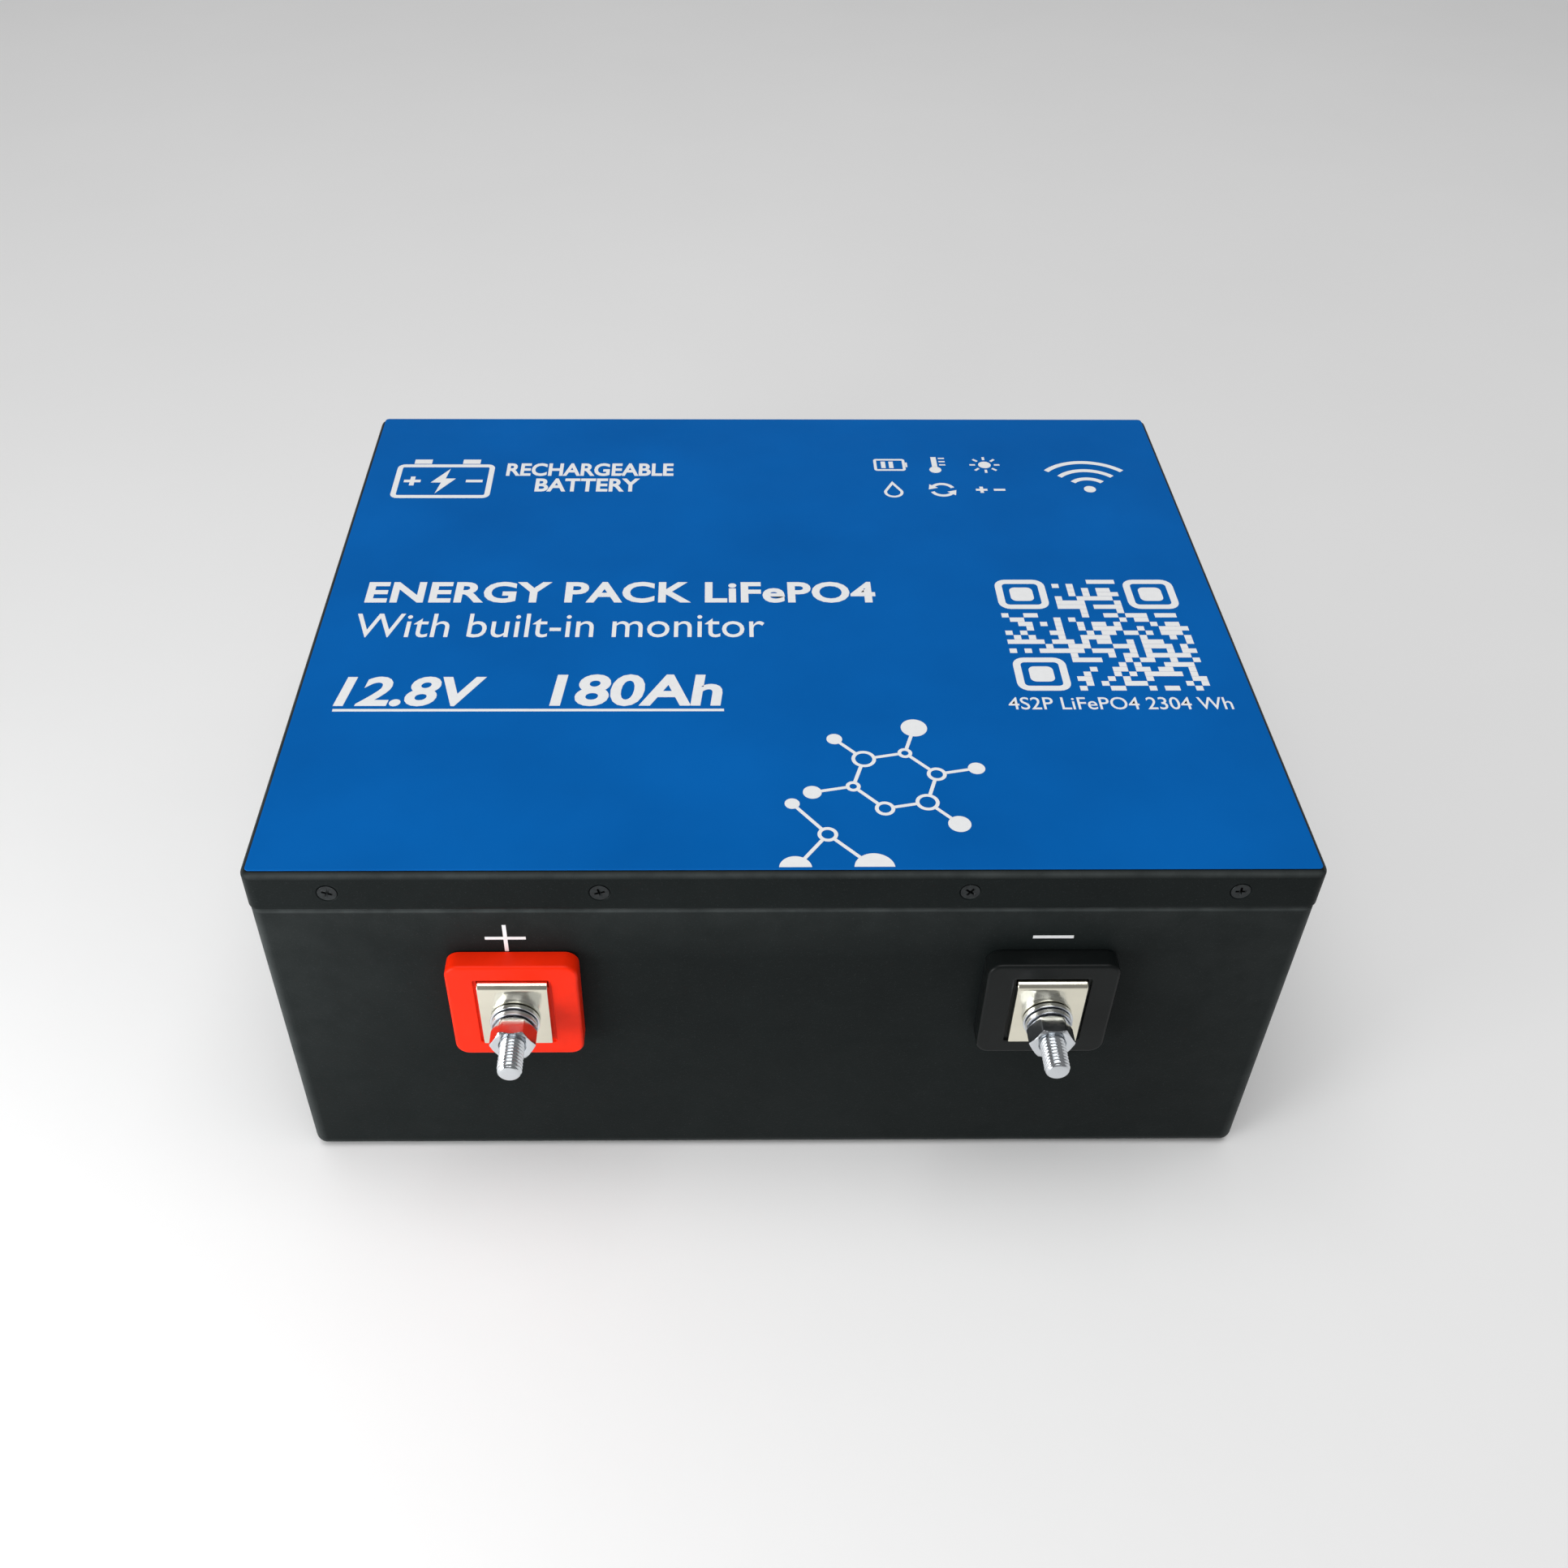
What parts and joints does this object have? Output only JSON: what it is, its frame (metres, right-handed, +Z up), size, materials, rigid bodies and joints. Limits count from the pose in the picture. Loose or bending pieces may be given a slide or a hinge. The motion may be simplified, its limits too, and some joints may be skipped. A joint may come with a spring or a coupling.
{
  "type": "lithium battery pack",
  "caption": "Flat rectangular LiFePO4 battery pack in a black steel case with a blue top label, red and black terminal blocks and threaded stud terminals on the front.",
  "frame": {"origin": "middle of the case's underside", "axes": "+X along the case's long side to the right, +Y from the terminal wall to the back, +Z up to the label"},
  "size_m": [0.33, 0.3085, 0.1396],
  "materials": {
    "case_paint": "fine matt black powder coat on folded steel sheet",
    "label_film": "blue printed vinyl film with white print",
    "screw_black": "black oxide countersunk steel screws",
    "red_insulator": "satin moulded red nylon",
    "black_insulator": "satin moulded black nylon",
    "nickel_busbar": "nickel plated copper strip with light handling marks",
    "zinc_hardware": "bright zinc plated steel",
    "spring_steel": "zinc plated spring steel",
    "cell_wrap": "blue film wrapped round an aluminium can",
    "fibre_board": "glass fibre insulating board",
    "copper_links": "bare copper strip, laser welded to the posts",
    "circuit_board": "green circuit board",
    "heatsink_aluminium": "extruded aluminium, bead blasted",
    "white_nylon": "natural nylon connector",
    "red_silicone": "red silicone cable jacket",
    "black_silicone": "black silicone cable jacket",
    "foam": "closed cell EVA foam",
    "strap_band": "polyester band"
  },
  "bodies": {
    "case": {"case_tub": "case_paint", "case_lid": "case_paint", "top_label": "label_film", "lid_screw_front_1": "screw_black", "lid_screw_front_2": "screw_black", "lid_screw_front_3": "screw_black", "lid_screw_front_4": "screw_black", "lid_screw_back_1": "screw_black", "lid_screw_back_2": "screw_black", "lid_screw_back_3": "screw_black", "lid_screw_back_4": "screw_black", "lid_screw_left_1": "screw_black", "lid_screw_left_2": "screw_black", "lid_screw_right_1": "screw_black", "lid_screw_right_2": "screw_black", "positive_insulator": "red_insulator", "negative_insulator": "black_insulator", "positive_busbar": "nickel_busbar", "positive_stud": "zinc_hardware", "negative_busbar": "nickel_busbar", "negative_stud": "zinc_hardware", "cell_1": "cell_wrap", "cell_2": "cell_wrap", "cell_3": "cell_wrap", "cell_4": "cell_wrap", "cell_5": "cell_wrap", "cell_6": "cell_wrap", "cell_7": "cell_wrap", "cell_8": "cell_wrap", "separator_1": "fibre_board", "separator_2": "fibre_board", "separator_3": "fibre_board", "bms_mounting_board": "fibre_board", "series_busbar_1": "copper_links", "series_busbar_2": "copper_links", "series_busbar_3": "copper_links", "positive_cell_busbar": "copper_links", "negative_cell_busbar": "copper_links", "bms_board": "circuit_board", "wireless_module": "circuit_board", "bms_heatsink": "heatsink_aluminium", "sense_plug": "white_nylon", "positive_cable": "red_silicone", "negative_cell_cable": "black_silicone", "negative_output_cable": "black_silicone", "sense_harness": "black_silicone", "bottom_pad": "foam", "top_pad": "foam", "left_pad": "foam", "right_pad": "foam", "back_pad": "foam", "strap_1": "strap_band", "strap_2": "strap_band"},
    "positive_washers": {"positive_flat_washer": "zinc_hardware", "positive_spring_washer": "spring_steel"},
    "positive_nut": {"positive_nut": "zinc_hardware"},
    "negative_washers": {"negative_flat_washer": "zinc_hardware", "negative_spring_washer": "spring_steel"},
    "negative_nut": {"negative_nut": "zinc_hardware"}
  },
  "joints": [
    {"name": "positive_washer_slide", "type": "slide", "parent": "case", "child": "positive_washers", "axis": [0, -1, 0], "range_m": [0, 0.0101]},
    {"name": "positive_nut_spin", "type": "hinge", "parent": "positive_washers", "child": "positive_nut", "pos_m": [-0.0855, -0.155, 0.082], "axis": [0, -1, 0], "range_deg": [0, 2880]},
    {"name": "negative_washer_slide", "type": "slide", "parent": "case", "child": "negative_washers", "axis": [0, -1, 0], "range_m": [0, 0.0101]},
    {"name": "negative_nut_spin", "type": "hinge", "parent": "negative_washers", "child": "negative_nut", "pos_m": [0.0855, -0.155, 0.082], "axis": [0, -1, 0], "range_deg": [0, 2880]}
  ],
  "couplings": [
    {"joint": "positive_washer_slide", "follows": "positive_nut_spin", "m_per_rad": 0.00019894},
    {"joint": "negative_washer_slide", "follows": "negative_nut_spin", "m_per_rad": 0.00019894}
  ]
}
